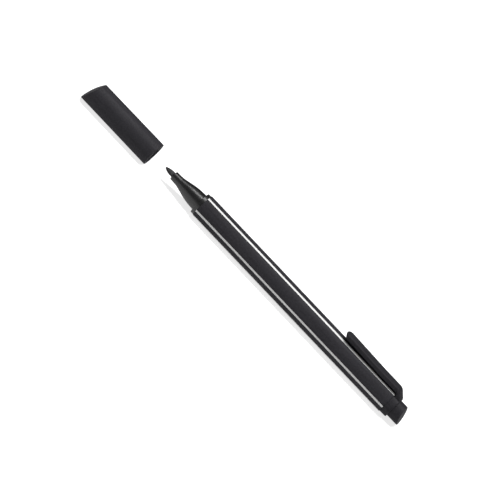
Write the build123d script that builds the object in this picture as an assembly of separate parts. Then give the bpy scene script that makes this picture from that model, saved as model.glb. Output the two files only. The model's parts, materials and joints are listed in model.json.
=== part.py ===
from build123d import *
import os
from math import cos, radians, sin, sqrt, tan

# Fineliner pen lying on one face of its barrel, clip up, with its cap taken off in line with the nib.
# Lengths are in millimetres. +X runs from the cap to the end plug, and +Z goes up through the clip.
# The pieces are made round the X axis, with stations along it counted from the front end of the barrel,
# and are set down on the floor together at the end.

# Barrel: a tube with wide crowned faces and narrow ones between them
barrel_length = 100.0
barrel_edge_radius = 5.06  # from the axis to the long edges
wide_face_count = 3
narrow_face_degrees = 41.0  # what a narrow face spans, seen from the axis
wide_face_crown = 0.85  # how far the middle of a face stands above its two edges
narrow_face_crown = 0.2
barrel_edge_round = 0.5
barrel_end_round = 0.2
barrel_bore_radius = 3.45

# White stripes let into the long edges
stripe_width = 0.85
stripe_depth = 0.2

# Nose: collar, cone and base in front of a flange, and a hollow shank inside the barrel
flange_length = 1.4
flange_step = 0.02  # how far the flange lies below the middle of a wide face
flange_draft = 0.04
flange_edge_round = 0.15
nose_length = 14.05
collar_radius = 1.86
collar_length = 3.3
collar_draft = 0.1
collar_edge_round = 0.25
collar_blend = 8.0
cone_length = 6.25
cone_end_radius = 3.4
cone_blend = 25.0
nose_base_radius = 3.7
shank_length = 9.0
shank_edge_round = 0.3
nose_wall = 1.0
nib_hold_length = 6.5  # length of the hole that grips the nib
chamber_cone_length = 5.0

# Nib
nib_radius = 1.1
nib_exposed = 4.2
nib_tip_radius = 0.4
nib_taper_length = 3.4
nib_reach = 6.0  # how deep it stands in the reservoir
nib_rear_bevel = 0.3

# Ink reservoir and the film round it
reservoir_gap = 0.3
wrap_thickness = 0.13

# Ring behind the barrel, and the end plug that traps it
ring_length = 3.05
ring_step = 0.1  # how far the ring lies below the middle of a wide face
ring_draft = 0.07
ring_edge_round = 0.15
post_length = 4.5  # head of the plug, measured on the axis
post_slant_degrees = 15.5
post_crown = 0.25
post_edge_round = 0.2
stem_length = 8.0
stem_edge_round = 0.3
plug_wall = 1.0

# Clip: a blade that runs forwards from the ring and carries a ball toe over the barrel
clip_length = 27.45  # from the bend line to the tip
clip_width = 4.2
clip_thickness = 2.07
clip_gap = 0.61  # between the root of the blade and the narrow face below it
clip_level_length = 8.0  # from the bend line to where the blade starts to rise
clip_rise = 0.55  # how much higher the blade stands at its tip
clip_rise_blend = 120.0
clip_overhang = 1.5  # from the end of the barrel to the bend line
clip_inner_round = 0.4
clip_edge_round = 0.65
clip_under_round = 0.7
tip_brow = 0.3  # how far below the top the tip starts to fall back
tip_lean = 1.6  # how far the foot of the tip lies behind its brow
tip_corner_round = 2.0
toe_radius = 1.2
toe_setback = 4.2  # from the tip to the middle of the toe
toe_clearance = 0.15  # between the toe and the narrow face
shoulder_lead = 0.1  # how far in front of the ring the shoulder starts to fall
shoulder_setback = 0.2  # from the foot of the shoulder to the rear of the ring
shoulder_round = 3.0

# Cap
cap_gap = 6.37  # from the nib to the mouth, as it lies
cap_length = 33.46  # measured on the axis
cap_mouth_radius = 5.08
cap_draft_degrees = 0.16
cap_wall = 1.05
cap_mouth_round = 0.2
cap_slant_degrees = 19.9
cap_crown = 0.65
cap_edge_round = 0.3
grip_length = 4.0
lead_in = 0.4

# Inner cap
seal_overlap = 2.3  # how much of the collar it covers when the cap is on
seal_wall = 0.7
seal_end_room = 1.0  # in front of the nib when the cap is on
seal_end_wall = 1.0
seal_flange_length = 1.5
seal_ledge = 0.4
seal_mouth_round = 0.2

# Fits
push_fit = 0.02
cap_fit = 0.06
seat_gap = 0.05  # between the flange and the mouth of a closed cap
overrun = 1.0
cutter_share = 2.0  # reach of a trimming tool, as a share of the radius or height that it trims

# Sizes and stations that follow
face_pitch_degrees = 360 / wide_face_count
wide_face_degrees = face_pitch_degrees - narrow_face_degrees


def face_middle(span_degrees, crown):
    """Distance from the axis to the middle of a face of the barrel."""
    return barrel_edge_radius * cos(radians(span_degrees / 2)) + crown


wide_face_middle = face_middle(wide_face_degrees, wide_face_crown)
narrow_face_middle = face_middle(narrow_face_degrees, narrow_face_crown)
flange_radius = wide_face_middle - flange_step
ring_radius = wide_face_middle - ring_step
shank_radius = barrel_bore_radius - push_fit
nib_hole_radius = nib_radius + push_fit
wrap_radius = barrel_bore_radius - reservoir_gap
core_radius = wrap_radius - wrap_thickness
grip_radius = nose_base_radius + cap_fit
post_radius = grip_radius

nose_front = -flange_length - nose_length
nib_tip = nose_front - nib_exposed
nib_rear = shank_length + nib_reach
stem_front = barrel_length - stem_length
ring_rear = barrel_length + ring_length
post_end = ring_rear + post_length
cap_mouth = nib_tip - cap_gap
cap_end = cap_mouth - cap_length
cap_travel = -flange_length - seat_gap - cap_mouth

cavity_radius = cap_mouth_radius - cap_length * tan(radians(cap_draft_degrees)) - cap_wall
seal_bore_radius = collar_radius + collar_draft + cap_fit
seal_mouth = nose_front + seal_overlap - cap_travel
seal_bore_end = nib_tip - seal_end_room - cap_travel
seal_seat = seal_bore_end - seal_end_wall

clip_under = narrow_face_middle + clip_gap
clip_top = clip_under + clip_thickness
clip_bend = barrel_length - clip_overhang
clip_tip = clip_bend - clip_length
tip_under = clip_under + clip_rise
tip_top = clip_top + clip_rise


def side_face(corners):
    """A face in the side view. Each corner has its station, its height above the axis and its rounding."""
    points = [(station, height) for station, height, rounding in corners]
    rounds = [rounding for station, height, rounding in corners]
    outline = FilletPolyline(*points, radius=rounds, close=True)
    return Plane.XZ * make_face(outline.edges())


def turned(corners):
    """A solid turned about the axis from half its side view."""
    return revolve(side_face(corners), Axis.X)


def beyond_slant(station, facing, slant_degrees, crown, radius):
    """All that lies beyond a domed end which leans up and faces along the axis, forwards or back."""
    lean = radians(slant_degrees)
    end_plane = Plane((station, 0, 0), x_dir=(0, 1, 0), z_dir=(facing * cos(lean), 0, sin(lean)))
    reach = cutter_share * radius
    dome_radius = (radius**2 + crown**2) / (2 * crown)
    sag = dome_radius - sqrt(dome_radius**2 - reach**2)
    low_end = (Align.CENTER, Align.CENTER, Align.MIN)
    block = Pos(0, 0, -sag) * Cylinder(reach, sag + reach, align=low_end)
    dome = Pos(0, 0, -dome_radius) * Sphere(dome_radius)
    return end_plane * (block - dome)


def section_point(radius, degrees):
    """A point of the barrel's section, at an angle from the clip."""
    return (radius * sin(radians(degrees)), radius * cos(radians(degrees)))


def face_arc(centre_degrees, span_degrees, crown):
    """One crowned face of the barrel's section, from edge to edge."""
    half = span_degrees / 2
    return ThreePointArc(
        section_point(barrel_edge_radius, centre_degrees - half),
        section_point(face_middle(span_degrees, crown), centre_degrees),
        section_point(barrel_edge_radius, centre_degrees + half),
    )


def barrel_rod():
    """The barrel before it is bored and grooved."""
    arcs = []
    for side in range(wide_face_count):
        clip_side = side * face_pitch_degrees
        arcs.append(face_arc(clip_side, narrow_face_degrees, narrow_face_crown))
        arcs.append(face_arc(clip_side + face_pitch_degrees / 2, wide_face_degrees, wide_face_crown))
    section = Plane.YZ * make_face(arcs)
    section = fillet(section.vertices(), barrel_edge_round)
    rod = extrude(section, barrel_length)
    return fillet(rod.faces().filter_by(Axis.X).edges(), barrel_end_round)


def stripe_slots():
    """The grooves along the edges, as solid bars."""
    on_edge = (Align.MIN, Align.CENTER, Align.MIN)
    bar = Box(barrel_length + 2 * overrun, stripe_width, stripe_depth + overrun, align=on_edge)
    bar = Pos(-overrun, 0, barrel_edge_radius - stripe_depth) * bar
    slots = []
    for side in range(wide_face_count):
        for half in (-narrow_face_degrees / 2, narrow_face_degrees / 2):
            slots.append(Rot(X=side * face_pitch_degrees + half) * bar)
    return slots


def barrel():
    """The tube, bored through and grooved for its stripes."""
    bore = turned(
        [
            (-overrun, 0, 0),
            (-overrun, barrel_bore_radius, 0),
            (barrel_length + overrun, barrel_bore_radius, 0),
            (barrel_length + overrun, 0, 0),
        ]
    )
    return barrel_rod() - bore - stripe_slots()


def edge_stripes():
    """The stripes, flush with the edges that they fill."""
    rod = barrel_rod()
    return [rod & slot for slot in stripe_slots()]


def nose():
    """The front section. Its flange meets the barrel, and its shank is pushed into the bore."""
    chamber_radius = shank_radius - nose_wall
    cone_front = nose_front + collar_length
    hold_end = nose_front + nib_hold_length
    return turned(
        [
            (nose_front, nib_hole_radius, 0),
            (nose_front, collar_radius, collar_edge_round),
            (cone_front, collar_radius + collar_draft, collar_blend),
            (cone_front + cone_length, cone_end_radius, cone_blend),
            (-flange_length, nose_base_radius, 0),
            (-flange_length, flange_radius - flange_draft, flange_edge_round),
            (0, flange_radius, 0),
            (0, shank_radius, 0),
            (shank_length, shank_radius, shank_edge_round),
            (shank_length, chamber_radius, 0),
            (hold_end + chamber_cone_length, chamber_radius, 0),
            (hold_end, nib_hole_radius, 0),
        ]
    )


def nib():
    """Fibre rod with a round tip that swells into its full thickness."""
    taper_end = nib_tip + nib_taper_length
    bow = nib_taper_length - nib_tip_radius
    swell = nib_radius - nib_tip_radius
    taper_radius = (bow**2 + nib_radius**2 - nib_tip_radius**2) / (2 * swell)
    tip_centre = Vector(nib_tip + nib_tip_radius, 0)
    taper_centre = Vector(taper_end, nib_radius - taper_radius)
    meeting = tip_centre + (tip_centre - taper_centre).normalized() * nib_tip_radius
    tip_arc = TangentArc((nib_tip, 0), meeting, tangent=(0, 1))
    taper_arc = TangentArc(meeting, (taper_end, nib_radius), tangent=tip_arc % 1)
    rod = Polyline(
        (taper_end, nib_radius),
        (nib_rear - nib_rear_bevel, nib_radius),
        (nib_rear, nib_radius - nib_rear_bevel),
        (nib_rear, 0),
        (nib_tip, 0),
    )
    outline = [tip_arc, taper_arc, *rod.edges()]
    return revolve(Plane.XZ * make_face(outline), Axis.X)


def ink_reservoir():
    """Fibre core between the shank of the nose and the stem of the plug, pierced by the nib."""
    return turned(
        [
            (shank_length, nib_hole_radius, 0),
            (shank_length, core_radius, 0),
            (stem_front, core_radius, 0),
            (stem_front, 0, 0),
            (nib_rear + push_fit, 0, 0),
            (nib_rear + push_fit, nib_hole_radius, 0),
        ]
    )


def reservoir_wrap():
    """Film sleeve round the core."""
    return turned(
        [
            (shank_length, core_radius + push_fit, 0),
            (shank_length, wrap_radius, 0),
            (stem_front, wrap_radius, 0),
            (stem_front, core_radius + push_fit, 0),
        ]
    )


def clip_prism(corners):
    """A solid as wide as the clip, from its side view."""
    return extrude(side_face(corners), clip_width / 2, both=True)


def long_edges(block, low, high):
    """The two longest straight edges of the clip whose middles lie between two heights."""
    lines = block.edges().filter_by(GeomType.LINE)
    return lines.filter_by(lambda edge: low < edge.center().Z < high).sort_by(SortBy.LENGTH)[-2:]


def clip_block():
    """The clip before its tip is trimmed, with a round end and rounded rims."""
    kick = clip_bend - clip_level_length
    foot = ring_rear - shoulder_setback
    side = clip_prism(
        [
            (barrel_length, barrel_bore_radius, 0),
            (barrel_length, clip_under, clip_inner_round),
            (kick, clip_under, clip_rise_blend),
            (clip_tip, tip_under, 0),
            (clip_tip, tip_top, 0),
            (kick, clip_top, clip_rise_blend),
            (barrel_length - shoulder_lead, clip_top, shoulder_round),
            (foot, ring_radius - ring_draft, 0),
            (foot, barrel_bore_radius, 0),
        ]
    )
    plan = FilletPolyline(
        (clip_tip, -clip_width / 2),
        (clip_tip, clip_width / 2),
        (foot, clip_width / 2),
        (foot, -clip_width / 2),
        radius=[tip_corner_round, tip_corner_round, 0, 0],
        close=True,
    )
    block = side & extrude(make_face(plan.edges()), cutter_share * tip_top)
    block = fillet(long_edges(block, clip_top, tip_top), clip_edge_round)
    return fillet(long_edges(block, clip_under, tip_under), clip_under_round)


def clip_moulding():
    """The clip from its tip to its foot on the ring, before it is parted at the bend line."""
    brow = tip_top - tip_brow
    in_front = clip_prism(
        [
            (clip_tip - overrun, brow, 0),
            (clip_tip, brow, 0),
            (clip_tip + cutter_share * tip_lean, brow - cutter_share * (brow - tip_under), 0),
            (clip_tip - overrun, brow - cutter_share * (brow - tip_under), 0),
        ]
    )
    toe = Pos(clip_tip + toe_setback, 0, narrow_face_middle + toe_clearance + toe_radius) * Sphere(toe_radius)
    return clip_block() - in_front + toe


def clip():
    """The blade in front of the bend line."""
    return split(clip_moulding(), Plane((clip_bend, 0, 0), z_dir=(1, 0, 0)), Keep.BOTTOM)


def clip_ring():
    """The ring behind the barrel, with the root of the clip."""
    ring = turned(
        [
            (barrel_length, 0, 0),
            (barrel_length, ring_radius, ring_edge_round),
            (ring_rear, ring_radius - ring_draft, ring_edge_round),
            (ring_rear, 0, 0),
        ]
    )
    root = split(clip_moulding(), Plane((clip_bend, 0, 0), z_dir=(1, 0, 0)), Keep.TOP)
    bore = turned(
        [
            (barrel_length - overrun, 0, 0),
            (barrel_length - overrun, barrel_bore_radius, 0),
            (ring_rear + overrun, barrel_bore_radius, 0),
            (ring_rear + overrun, 0, 0),
        ]
    )
    return ring + root - bore


def end_plug():
    """The plug. Its stem goes through the ring into the barrel, and its slanted head traps the ring."""
    hollow_radius = shank_radius - plug_wall
    blank_end = post_end + post_radius
    solid = turned(
        [
            (stem_front, 0, 0),
            (stem_front, shank_radius, stem_edge_round),
            (ring_rear, shank_radius, 0),
            (ring_rear, post_radius, 0),
            (blank_end, post_radius, 0),
            (blank_end, 0, 0),
        ]
    )
    solid = solid - beyond_slant(post_end, 1, post_slant_degrees, post_crown, post_radius)
    solid = fillet(solid.faces().filter_by(GeomType.SPHERE).edges(), post_edge_round)
    hollow = turned(
        [
            (stem_front - overrun, 0, 0),
            (stem_front - overrun, hollow_radius, 0),
            (blank_end, hollow_radius, 0),
            (blank_end, 0, 0),
        ]
    )
    end_wall = beyond_slant(post_end - plug_wall, 1, post_slant_degrees, post_crown, post_radius)
    return solid - (hollow - end_wall)


def cap_shell():
    """The cap: a drafted shell with a slanted, domed end and a land that grips the nose."""
    blank_end = cap_end - cap_mouth_radius
    blank_radius = cap_mouth_radius - (cap_mouth - blank_end) * tan(radians(cap_draft_degrees))
    shell = turned(
        [
            (cap_mouth, 0, 0),
            (cap_mouth, cap_mouth_radius, cap_mouth_round),
            (blank_end, blank_radius, 0),
            (blank_end, 0, 0),
        ]
    )
    shell = shell - beyond_slant(cap_end, -1, cap_slant_degrees, cap_crown, cap_mouth_radius)
    shell = fillet(shell.faces().filter_by(GeomType.SPHERE).edges(), cap_edge_round)
    ledge_radius = cavity_radius - seal_ledge
    cavity = turned(
        [
            (cap_mouth + overrun, 0, 0),
            (cap_mouth + overrun, grip_radius + lead_in + overrun, 0),
            (cap_mouth - lead_in, grip_radius, 0),
            (cap_mouth - grip_length, grip_radius, 0),
            (cap_mouth - grip_length - lead_in, cavity_radius, 0),
            (seal_seat, cavity_radius, 0),
            (seal_seat, ledge_radius, 0),
            (blank_end, ledge_radius, 0),
            (blank_end, 0, 0),
        ]
    )
    inner_end = cap_end + cap_wall
    return shell - (cavity - beyond_slant(inner_end, -1, cap_slant_degrees, cap_crown, cap_mouth_radius))


def cap_seal():
    """The inner cap: a thimble that closes round the collar, held by a flange in the shell."""
    tube_radius = seal_bore_radius + seal_wall
    flange_front = seal_seat + seal_flange_length
    return turned(
        [
            (seal_mouth, seal_bore_radius, 0),
            (seal_mouth, tube_radius, seal_mouth_round),
            (flange_front, tube_radius, 0),
            (flange_front, cavity_radius - push_fit, 0),
            (seal_seat, cavity_radius - push_fit, 0),
            (seal_seat, 0, 0),
            (seal_bore_end, 0, 0),
            (seal_bore_end, seal_bore_radius, 0),
        ]
    )


pieces = {
    "barrel": barrel(),
    "nose": nose(),
    "nib": nib(),
    "ink_reservoir": ink_reservoir(),
    "reservoir_wrap": reservoir_wrap(),
    "clip_ring": clip_ring(),
    "clip": clip(),
    "end_plug": end_plug(),
    "cap_shell": cap_shell(),
    "cap_seal": cap_seal(),
}
for number, stripe in enumerate(edge_stripes(), start=1):
    pieces[f"edge_stripe_{number}"] = stripe

# Set down on the floor, with the origin under the middle of the pen and its cap
whole = Compound(list(pieces.values())).bounding_box()
set_down = Pos(-whole.center().X, 0, -whole.min.Z)

os.makedirs("parts", exist_ok=True)
for name, piece in pieces.items():
    export_step(set_down * piece, f"parts/{name}.step")

print("barrel front at", round(-whole.center().X, 4), "axis at", round(-whole.min.Z, 4))
print("cap travel", round(cap_travel, 4), "bend line", round(clip_bend, 4), "at", round(clip_top, 4))
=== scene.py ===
import json
import math

import bmesh
import bpy
from mathutils import Matrix, Vector, noise


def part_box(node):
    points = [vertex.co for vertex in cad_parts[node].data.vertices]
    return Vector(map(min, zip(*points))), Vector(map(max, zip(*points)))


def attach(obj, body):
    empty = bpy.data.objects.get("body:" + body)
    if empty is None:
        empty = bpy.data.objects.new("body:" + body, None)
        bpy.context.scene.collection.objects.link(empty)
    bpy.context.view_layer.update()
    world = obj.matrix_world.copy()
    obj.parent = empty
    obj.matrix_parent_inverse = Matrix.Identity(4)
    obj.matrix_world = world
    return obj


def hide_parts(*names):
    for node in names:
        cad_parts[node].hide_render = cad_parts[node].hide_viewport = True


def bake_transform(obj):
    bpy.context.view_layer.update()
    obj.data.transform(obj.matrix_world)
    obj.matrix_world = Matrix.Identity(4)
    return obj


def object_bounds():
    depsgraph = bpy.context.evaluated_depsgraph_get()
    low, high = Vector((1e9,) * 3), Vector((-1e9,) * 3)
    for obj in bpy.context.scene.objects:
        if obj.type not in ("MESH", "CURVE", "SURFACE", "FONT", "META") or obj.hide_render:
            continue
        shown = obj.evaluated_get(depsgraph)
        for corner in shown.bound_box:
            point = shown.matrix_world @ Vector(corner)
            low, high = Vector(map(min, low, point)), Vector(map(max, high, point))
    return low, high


# Fineliner pen lying on a pale floor, with its cap taken off in line with the nib.
# Lengths are in metres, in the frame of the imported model.

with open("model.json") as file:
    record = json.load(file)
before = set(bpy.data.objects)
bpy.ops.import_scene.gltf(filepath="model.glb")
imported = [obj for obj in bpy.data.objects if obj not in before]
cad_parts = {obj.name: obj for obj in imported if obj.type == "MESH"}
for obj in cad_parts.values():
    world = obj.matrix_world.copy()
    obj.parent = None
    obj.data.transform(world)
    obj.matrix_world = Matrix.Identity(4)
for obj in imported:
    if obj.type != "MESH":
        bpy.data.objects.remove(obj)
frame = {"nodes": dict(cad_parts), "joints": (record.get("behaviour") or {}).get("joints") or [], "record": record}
cad_low, cad_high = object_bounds()
nodes = frame["nodes"]
record = frame["record"]
slot_colours = {entry["slot"]: entry["base_color"][:3] for entry in record["materials"]}
posting_head = next(mount for mount in record["mounts"] if mount["name"] == "posting_head")
axis_height = posting_head["pos_m"][2]
nib_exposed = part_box("nose")[0].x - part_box("nib")[0].x

# Camera: the photograph's frame, taken with a long lens
image_pixels = 500
pixels_per_metre = 2706.6
axis_middle_pixel = (246.6, 252.21)  # where the middle of the pen's axis shows, right and down
axis_slope_degrees = 46.5  # how far the axis runs down to the right
view_azimuth_degrees = 4.4
view_elevation_degrees = 26.75
camera_distance = 2.0
sensor_millimetres = 36.0

# Studio
white = (1.0, 1.0, 1.0, 1.0)
floor_size = 6.0
floor_colour = (0.6, 0.6, 0.6)
floor_glow = 0.76  # added for the camera and for reflections, so that the floor is white
front_fill = 0.24  # strength of the world on the camera's side
rear_fill = 0.0
softbox_length = 1.0  # along the pen
softbox_width = 0.18
softbox_height = 0.9
softbox_lean_degrees = 2.0  # towards the camera
softbox_power = 9.5

# All materials. A pitch is the size of a texture's features, and an along share below one draws them out
# along the pen. A depth is how far a texture stands out, and a relief is how strongly it shows. Two shares
# of a colour are what the darkest and the lightest places have of the colour in the record.
noise_detail = 3.0
noise_range = (0.3, 0.7)  # where most values of a noise lie
whole_range = (0.0, 1.0)
direction_range = (-1.0, 1.0)
mix_colour_inputs = (6, 7)  # places in the Mix node, whose names come once for each type of data
mix_colour_output = 2
grain_pitch = 0.00011
grain_detail = 2.0
grain_depth = 0.00002
flow_pitch = 0.0011

# Satin plastic of the barrel, the cap with its seal, the plug and the clip
mottle_pitch = 0.0006
satin_flow_along_share = 0.06
satin_tone_range = (1.1, 1.9)  # of three noises added up
satin_shares = (0.68, 1.14)
satin_tint_shares = (1.01, 0.97, 1.06)
satin_roughness = 0.56
seal_roughness = 0.6
satin_roughness_spread = 0.06
satin_specular = 0.01
satin_coats = (0.189, 0.231)
satin_relief = 0.25
rubbed_width = 0.00025
rubbed_likeness = (0.985, 0.85)  # of the true to a rounded surface, where wear starts and where it is full
rubbed_share = 1.1
rubbed_polish = 0.12  # how much less rough the rubbed edges are
rubbed_coat = 0.063  # how much more coat the rubbed edges have

# Polished plastic of the nose
cloud_pitch = 0.007
turning_pitch = 0.0014
turning_along_share = 18.0
turning_depth = 0.00001
turning_relief = 0.06
nose_shares = (0.35, 0.45)
nose_sheen_range = (0.12, 0.4)  # of two noises multiplied
nose_roughnesses = (0.33, 0.41)
nose_specular = 0.48

# White plastic of the stripes
stripe_flow_along_share = 0.05
stripe_shares = (1.0, 1.07)
stripe_roughnesses = (0.36, 0.48)
stripe_specular = 0.3
stripe_relief = 0.15

# Inked fibre of the nib and the reservoir
strand_pitch = 0.00014
strand_along_share = 0.08
strand_depth = 0.00003
strand_relief = 0.5
soak_pitch = 0.0011
ink_tone_range = (0.14, 0.36)  # of two noises multiplied
ink_shares = (0.6, 1.5)
ink_roughnesses = (0.7, 0.95)
ink_specular = 0.25

# Clear film round the reservoir
crease_pitch = 0.002
crease_along_share = 0.3
crease_depth = 0.00002
crease_relief = 0.2
film_shares = (0.96, 1.0)
film_roughnesses = (0.08, 0.2)
film_transmission = 0.6

# Clip: the stretch round the hinge at its root, and how finely it is cut there
bend_before = 0.0012  # behind the hinge
bend_after = 0.0045  # in front of the hinge
bend_cuts = 18
weld_distance = 2.0e-6
clip_crease_degrees = 28.0

# Nib
nib_tip_radius = 0.0004
nib_taper_length = 0.0034
nib_sides = 120
nib_rings = 72
nib_ring_crowding = 1.6  # above one, the rings stand closer near the tip
nib_crease_degrees = 60.0
fibre_depth = 0.00003  # of the grooves between fibres
fibre_pitch = 0.00016
fibre_length = 0.0016


def add_node(tree, kind, **values):
    """A shader node with some of its inputs set."""
    made = tree.nodes.new("ShaderNode" + kind)
    for socket, value in values.items():
        made.inputs[socket.replace("_", " ")].default_value = value
    return made


def new_material(name):
    """A material with its shader, ready for nodes."""
    material = bpy.data.materials.new(name)
    material.use_nodes = True
    tree = material.node_tree
    return material, tree, tree.nodes["Principled BSDF"]


def noise_over(tree, pitch, detail=noise_detail, along_share=1.0):
    """Noise over the piece, from its own coordinates."""
    place = add_node(tree, "TexCoord")
    mapping = add_node(tree, "Mapping", Scale=(along_share, 1.0, 1.0))
    texture = add_node(tree, "TexNoise", Scale=1.0 / pitch, Detail=detail)
    tree.links.new(place.outputs["Object"], mapping.inputs["Vector"])
    tree.links.new(mapping.outputs["Vector"], texture.inputs["Vector"])
    return texture.outputs["Fac"]


def ranged(tree, value, outcome, given=noise_range):
    """The value spread from the first to the second outcome as it goes through the given range."""
    start, end = given
    first, second = outcome
    spread = add_node(tree, "MapRange", From_Min=start, From_Max=end, To_Min=first, To_Max=second)
    tree.links.new(value, spread.inputs["Value"])
    return spread.outputs["Result"]


def combined(tree, first, second, operation):
    """Two values put together."""
    joined = add_node(tree, "Math")
    joined.operation = operation
    tree.links.new(first, joined.inputs[0])
    tree.links.new(second, joined.inputs[1])
    return joined.outputs["Value"]


def edge_mask(tree, width):
    """One on the edges of the piece, falling to nothing that far from them."""
    bevel = add_node(tree, "Bevel", Radius=width)
    surface = add_node(tree, "NewGeometry")
    likeness = add_node(tree, "VectorMath")
    likeness.operation = "DOT_PRODUCT"
    tree.links.new(bevel.outputs["Normal"], likeness.inputs[0])
    tree.links.new(surface.outputs["Normal"], likeness.inputs[1])
    return ranged(tree, likeness.outputs["Value"], whole_range, rubbed_likeness)


def mixed_colour(tree, share, *colours):
    """The first colour, turning into the second as the share grows. Either may come from other nodes."""
    mix = tree.nodes.new("ShaderNodeMix")
    mix.data_type = "RGBA"
    tree.links.new(share, mix.inputs["Factor"])
    for place, colour in zip(mix_colour_inputs, colours):
        if isinstance(colour, bpy.types.NodeSocket):
            tree.links.new(colour, mix.inputs[place])
        else:
            mix.inputs[place].default_value = (*colour, 1.0)
    return mix.outputs[mix_colour_output]


def between_shares(tree, tone, colour, shares):
    """The colour, from its darkest to its lightest share as the tone grows."""
    darkest, lightest = (tuple(channel * share for channel in colour) for share in shares)
    return mixed_colour(tree, tone, darkest, lightest)


def bump(tree, shader, height, relief, depth, sockets=("Normal",)):
    """Raises the surface by the height, up to that depth."""
    raised = add_node(tree, "Bump", Strength=relief, Distance=depth)
    tree.links.new(height, raised.inputs["Height"])
    for socket in sockets:
        tree.links.new(raised.outputs["Normal"], shader.inputs[socket])


def satin_colour(tree, slot, tone, worn):
    """The slot's colour, slightly tinted, which follows the tone and is paler where it is worn."""
    colour = tuple(channel * share for channel, share in zip(slot_colours[slot], satin_tint_shares))
    rubbed = tuple(channel * rubbed_share for channel in colour)
    return mixed_colour(tree, worn, between_shares(tree, tone, colour, satin_shares), rubbed)


def satin_plastic(name, slot, roughness=satin_roughness):
    """Spark-textured black plastic: fine grain, faint flow lines, and edges rubbed a little smoother."""
    material, tree, shader = new_material(name)
    grain = noise_over(tree, grain_pitch, detail=grain_detail)
    mottle = noise_over(tree, mottle_pitch)
    flow = noise_over(tree, flow_pitch, along_share=satin_flow_along_share)
    worn = edge_mask(tree, rubbed_width)
    tone = combined(tree, combined(tree, flow, grain, "ADD"), mottle, "ADD")
    tone = ranged(tree, tone, whole_range, satin_tone_range)
    tree.links.new(satin_colour(tree, slot, tone, worn), shader.inputs["Base Color"])
    matt = ranged(tree, grain, (roughness - satin_roughness_spread, roughness + satin_roughness_spread))
    polish = ranged(tree, worn, (0.0, rubbed_polish), whole_range)
    tree.links.new(combined(tree, matt, polish, "SUBTRACT"), shader.inputs["Roughness"])
    gleam = ranged(tree, mottle, satin_coats)
    gloss = ranged(tree, worn, (0.0, rubbed_coat), whole_range)
    tree.links.new(combined(tree, gleam, gloss, "ADD"), shader.inputs["Coat Weight"])
    shader.inputs["Coat Roughness"].default_value = roughness
    shader.inputs["Specular IOR Level"].default_value = satin_specular
    bump(tree, shader, grain, satin_relief, grain_depth, sockets=("Normal", "Coat Normal"))
    return material


def gloss_plastic(name, slot):
    """Polished black plastic with faint turning marks."""
    material, tree, shader = new_material(name)
    turning = noise_over(tree, turning_pitch, along_share=turning_along_share)
    cloud = noise_over(tree, cloud_pitch)
    colour = between_shares(tree, cloud, slot_colours[slot], nose_shares)
    tree.links.new(colour, shader.inputs["Base Color"])
    sheen = combined(tree, turning, cloud, "MULTIPLY")
    tree.links.new(ranged(tree, sheen, nose_roughnesses, nose_sheen_range), shader.inputs["Roughness"])
    shader.inputs["Specular IOR Level"].default_value = nose_specular
    bump(tree, shader, turning, turning_relief, turning_depth)
    return material


def stripe_plastic(name, slot):
    """White plastic, a little duller in places."""
    material, tree, shader = new_material(name)
    flow = noise_over(tree, flow_pitch, along_share=stripe_flow_along_share)
    grain = noise_over(tree, grain_pitch, detail=grain_detail)
    colour = between_shares(tree, flow, slot_colours[slot], stripe_shares)
    tree.links.new(colour, shader.inputs["Base Color"])
    tree.links.new(ranged(tree, grain, stripe_roughnesses), shader.inputs["Roughness"])
    shader.inputs["Specular IOR Level"].default_value = stripe_specular
    bump(tree, shader, grain, stripe_relief, grain_depth)
    return material


def ink_fibre(name, slot):
    """Bundled fibre soaked in ink, dull, with strands along the pen."""
    material, tree, shader = new_material(name)
    strands = noise_over(tree, strand_pitch, along_share=strand_along_share)
    soak = noise_over(tree, soak_pitch)
    tone = ranged(tree, combined(tree, strands, soak, "MULTIPLY"), whole_range, ink_tone_range)
    colour = between_shares(tree, tone, slot_colours[slot], ink_shares)
    tree.links.new(colour, shader.inputs["Base Color"])
    tree.links.new(ranged(tree, strands, ink_roughnesses), shader.inputs["Roughness"])
    shader.inputs["Specular IOR Level"].default_value = ink_specular
    bump(tree, shader, strands, strand_relief, strand_depth)
    return material


def clear_film(name, slot):
    """Thin clear film with faint creases."""
    material, tree, shader = new_material(name)
    creases = noise_over(tree, crease_pitch, along_share=crease_along_share)
    colour = between_shares(tree, creases, slot_colours[slot], film_shares)
    tree.links.new(colour, shader.inputs["Base Color"])
    tree.links.new(ranged(tree, creases, film_roughnesses), shader.inputs["Roughness"])
    shader.inputs["Transmission Weight"].default_value = film_transmission
    bump(tree, shader, creases, crease_relief, crease_depth)
    return material


def paint(material, *names):
    """Gives the nodes that material and nothing else."""
    for name in names:
        slots = nodes[name].data.materials
        slots.clear()
        slots.append(material)


def new_object(name, data):
    """An object with that data, put into the scene."""
    made = bpy.data.objects.new(name, data)
    bpy.context.scene.collection.objects.link(made)
    return made


def show_piece(name, mesh, material, crease):
    """Shows a mesh as a piece, smooth apart from edges that turn by more degrees than the crease."""
    data = bpy.data.meshes.new(name)
    mesh.to_mesh(data)
    mesh.free()
    # A mesh that comes from CAD nodes brings their normals, which don't fit any more
    for layer in ("custom_normal", "sharp_edge", "sharp_face"):
        if layer in data.attributes:
            data.attributes.remove(data.attributes[layer])
    data.polygons.foreach_set("use_smooth", [True] * len(data.polygons))
    data.set_sharp_from_angle(angle=math.radians(crease))
    data.materials.append(material)
    piece = new_object(name, data)
    return piece


def cut_across(mesh, station):
    """Cuts every face of the mesh at that station along the pen."""
    everything = list(mesh.verts) + list(mesh.edges) + list(mesh.faces)
    bmesh.ops.bisect_plane(mesh, geom=everything, plane_co=(station, 0.0, 0.0), plane_no=(1.0, 0.0, 0.0))


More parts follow.
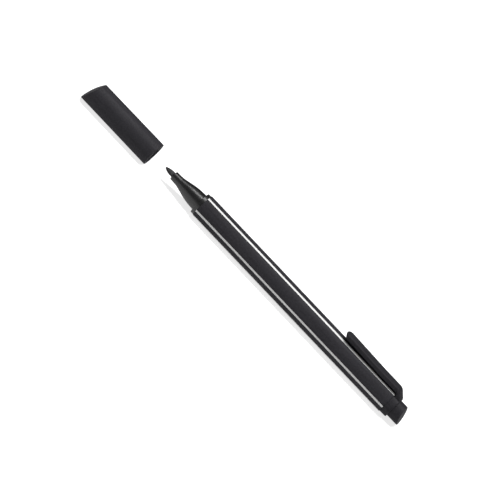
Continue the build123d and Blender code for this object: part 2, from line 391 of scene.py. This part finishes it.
def clip_mesh(bend):
    """Clip and ring joined where they part, and cut finely over the bend."""
    mesh = bmesh.new()
    for name in ("clip", "clip_ring"):
        mesh.from_mesh(nodes[name].data)
    bmesh.ops.remove_doubles(mesh, verts=mesh.verts, dist=weld_distance)
    parting = [
        face for face in mesh.faces
        if all(abs(vert.co.x - bend) < weld_distance for vert in face.verts)
    ]
    bmesh.ops.delete(mesh, geom=parting, context="FACES")
    for cut in range(bend_cuts + 1):
        share = cut / bend_cuts
        cut_across(mesh, bend + bend_before - share * (bend_before + bend_after))
    return mesh


def make_clip(material):
    """Clip and ring as the one moulding that they are on the pen, cut finely across the root of the clip."""
    hinge = next(joint for joint in frame["joints"] if joint["name"] == "clip_flex")
    bend = hinge["pos_m"][0]
    piece = show_piece("clip_moulding", clip_mesh(bend), material, clip_crease_degrees)
    even = piece.modifiers.new("even_normals", "WEIGHTED_NORMAL")
    even.keep_sharp = True
    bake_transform(piece)
    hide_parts("clip", "clip_ring")


def nib_radius_at(distance, full_radius):
    """Radius of the nib that far from its tip: a round tip that swells into the full thickness."""
    if distance >= nib_taper_length:
        return full_radius
    swell = full_radius - nib_tip_radius
    bow = nib_taper_length - nib_tip_radius
    taper_radius = (bow**2 + full_radius**2 - nib_tip_radius**2) / (2 * swell)
    on_tip = math.sqrt(max(nib_tip_radius**2 - (nib_tip_radius - distance)**2, 0.0))
    on_taper = full_radius - taper_radius + math.sqrt(taper_radius**2 - (nib_taper_length - distance)**2)
    meeting = nib_tip_radius - nib_tip_radius * bow / math.hypot(bow, taper_radius - full_radius)
    return on_tip if distance < meeting else on_taper


def away_from_axis(side):
    """The direction from the pen's axis to that side of the nib."""
    angle = 2 * math.pi * side / nib_sides
    return Vector((0.0, math.cos(angle), math.sin(angle)))


def grooved_radii(distance, full_radius):
    """Radii of all sides of the nib, that far from its tip, with the shallow grooves between its fibres."""
    radius = nib_radius_at(distance, full_radius)
    deepest = fibre_depth * min(1.0, radius / full_radius)
    radii = []
    for side in range(nib_sides):
        around = away_from_axis(side).yz * full_radius / fibre_pitch
        spot = Vector((distance / fibre_length, *around))
        radii.append(radius - deepest * (1.0 + noise.noise(spot)) / 2)
    return radii


def add_ring(mesh, station, radii):
    """A ring of points round the pen's axis at that station."""
    middle = Vector((station, 0.0, axis_height))
    return [mesh.verts.new(middle + away_from_axis(side) * radius) for side, radius in enumerate(radii)]


def nib_mesh(low, high):
    """The nib from its tip to its flat rear end, grooved where it stands out of the nose."""
    full_radius = (high.y - low.y) / 2
    mesh = bmesh.new()
    rings = []
    for ring in range(1, nib_rings + 1):
        distance = nib_exposed * (ring / nib_rings)**nib_ring_crowding
        rings.append(add_ring(mesh, low.x + distance, grooved_radii(distance, full_radius)))
    rings.append(add_ring(mesh, high.x, [full_radius - fibre_depth] * nib_sides))
    tip = mesh.verts.new((low.x, 0.0, axis_height))
    for side in range(nib_sides):
        after = (side + 1) % nib_sides
        mesh.faces.new((tip, rings[0][side], rings[0][after]))
        for near, far in zip(rings, rings[1:]):
            mesh.faces.new((near[side], far[side], far[after], near[after]))
    mesh.faces.new(rings[-1])
    bmesh.ops.recalc_face_normals(mesh, faces=mesh.faces)
    return mesh


def make_nib(material):
    """The nib as a bundle of fibres, with a slightly ragged tip."""
    piece = show_piece("fibre_nib", nib_mesh(*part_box("nib")), material, nib_crease_degrees)
    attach(piece, "pen")
    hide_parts("nib")


def make_camera():
    """The photograph's viewpoint, rolled so that the pen runs across the frame."""
    azimuth = math.radians(view_azimuth_degrees)
    elevation = math.radians(view_elevation_degrees)
    back = Vector((
        math.sin(azimuth) * math.cos(elevation),
        -math.cos(azimuth) * math.cos(elevation),
        math.sin(elevation),
    ))
    level_right = Vector((math.cos(azimuth), math.sin(azimuth), 0.0))
    level_up = back.cross(level_right)
    roll = math.radians(axis_slope_degrees) - math.atan2(-level_up.x, level_right.x)
    right = level_right * math.cos(roll) + level_up * math.sin(roll)
    up = level_up * math.cos(roll) - level_right * math.sin(roll)
    middle = Vector(((cad_low.x + cad_high.x) / 2, 0.0, axis_height))
    aside = (image_pixels / 2 - axis_middle_pixel[0]) / pixels_per_metre
    above = (axis_middle_pixel[1] - image_pixels / 2) / pixels_per_metre
    data = bpy.data.cameras.new("camera")
    data.sensor_width = sensor_millimetres
    data.lens = sensor_millimetres * camera_distance * pixels_per_metre / image_pixels
    camera = new_object("camera", data)
    place = middle + back * camera_distance + right * aside + up * above
    turn = Matrix((right, up, back)).transposed().to_4x4()
    camera.matrix_world = Matrix.Translation(place) @ turn
    bpy.context.scene.camera = camera


def floor_paint():
    """Matt pale paint that glows to the camera, in reflections and through film, but lights nothing matt."""
    material, tree, shader = new_material("floor")
    shader.inputs["Base Color"].default_value = (*floor_colour, 1.0)
    shader.inputs["Roughness"].default_value = 1.0
    shader.inputs["Specular IOR Level"].default_value = 0.0
    path = add_node(tree, "LightPath")
    seen = combined(tree, path.outputs["Is Camera Ray"], path.outputs["Is Glossy Ray"], "MAXIMUM")
    seen = combined(tree, seen, path.outputs["Is Transmission Ray"], "MAXIMUM")
    glow = ranged(tree, seen, (0.0, floor_glow), whole_range)
    tree.links.new(glow, shader.inputs["Emission Strength"])
    shader.inputs["Emission Color"].default_value = white
    return material


def make_floor():
    """A pale floor that keeps the shadow and shows white to the camera."""
    half = floor_size / 2
    mesh = bpy.data.meshes.new("floor")
    corners = [(-half, -half, 0.0), (half, -half, 0.0), (half, half, 0.0), (-half, half, 0.0)]
    mesh.from_pydata(corners, [], [(0, 1, 2, 3)])
    mesh.materials.append(floor_paint())
    floor = new_object("floor", mesh)


def make_world():
    """A plain fill, which is dimmer behind the pen."""
    world = bpy.data.worlds.new("studio")
    world.use_nodes = True
    tree = world.node_tree
    background = tree.nodes["Background"]
    background.inputs["Color"].default_value = white
    direction = add_node(tree, "TexCoord")
    parts = add_node(tree, "SeparateXYZ")
    tree.links.new(direction.outputs["Generated"], parts.inputs["Vector"])
    fill = ranged(tree, parts.outputs["Y"], (front_fill, rear_fill), direction_range)
    tree.links.new(fill, background.inputs["Strength"])
    bpy.context.scene.world = world


def make_softbox():
    """A long softbox overhead, turned down to the pen."""
    data = bpy.data.lights.new("softbox", "AREA")
    data.shape = "RECTANGLE"
    data.size = softbox_length
    data.size_y = softbox_width
    data.energy = softbox_power
    softbox = new_object("softbox", data)
    lean = math.radians(softbox_lean_degrees)
    softbox.location = (0.0, -softbox_height * math.sin(lean), softbox_height * math.cos(lean))
    softbox.rotation_euler = (lean, 0.0, 0.0)


clip_satin = satin_plastic("clip_satin", "clip_plastic")
nib_ink = ink_fibre("nib_ink", "nib_fibre")
stripe_names = [name for name in nodes if name.startswith("edge_stripe")]
paint(satin_plastic("barrel_satin", "barrel_plastic"), "barrel")
paint(satin_plastic("cap_satin", "cap_plastic"), "cap_shell")
paint(satin_plastic("plug_satin", "plug_plastic"), "end_plug")
paint(satin_plastic("seal_satin", "seal_plastic", seal_roughness), "cap_seal")
paint(clip_satin, "clip", "clip_ring")
paint(gloss_plastic("nose_gloss", "nose_plastic"), "nose")
paint(stripe_plastic("stripe_white", "stripe_plastic"), *stripe_names)
paint(nib_ink, "nib")
paint(ink_fibre("reservoir_ink", "reservoir_fibre"), "ink_reservoir")
paint(clear_film("wrap_clear", "wrap_film"), "reservoir_wrap")

make_clip(clip_satin)
make_nib(nib_ink)
make_camera()
make_floor()
make_world()
make_softbox()
bpy.context.scene.view_settings.view_transform = "Standard"
